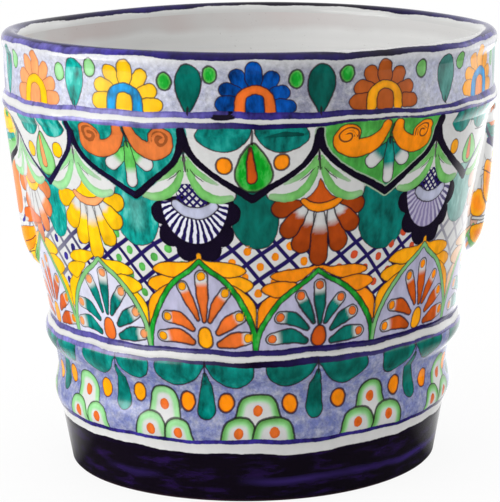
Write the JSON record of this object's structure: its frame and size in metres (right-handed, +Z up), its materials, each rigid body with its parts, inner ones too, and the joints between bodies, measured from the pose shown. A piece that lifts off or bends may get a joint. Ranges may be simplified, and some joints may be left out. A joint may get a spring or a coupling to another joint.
{
  "type": "flower pot",
  "caption": "Round glazed ceramic flower pot with tapered wall, upright collar, rolled lip, waist and shoulder ridges, side lugs and a drain hole, painted all round with flowers and leaves.",
  "frame": {"origin": "centre of the standing ring, on the ground", "axes": "+Z up along the axis of the pot; +X to the right lug, so the painted front seen in the picture faces -Y"},
  "size_m": [0.3064, 0.3064, 0.269],
  "materials": {
    "floor_slab": "white glaze above, bare terracotta below",
    "foot_ring": "dark cobalt gloss glaze",
    "belly_ring": "gloss glaze painted with leaves and fruit on a lavender wash",
    "waist_coil": "gloss glaze with a white line between cobalt lines",
    "body_wall": "gloss glaze painted with scrolls, flowers and lattice",
    "shoulder_coil": "gloss glaze with a white line between cobalt lines",
    "collar_ring": "gloss glaze painted with fan flowers and leaves",
    "lip_coil": "cobalt gloss glaze, white on the inside",
    "lugs": "gloss glaze painted with the wall's pattern"
  },
  "bodies": {
    "root": {"floor_slab": "floor_slab", "foot_ring": "foot_ring", "belly_ring": "belly_ring", "waist_coil": "waist_coil", "body_wall": "body_wall", "shoulder_coil": "shoulder_coil", "collar_ring": "collar_ring", "lip_coil": "lip_coil", "left_lug": "lugs", "right_lug": "lugs"}
  },
  "joints": []
}
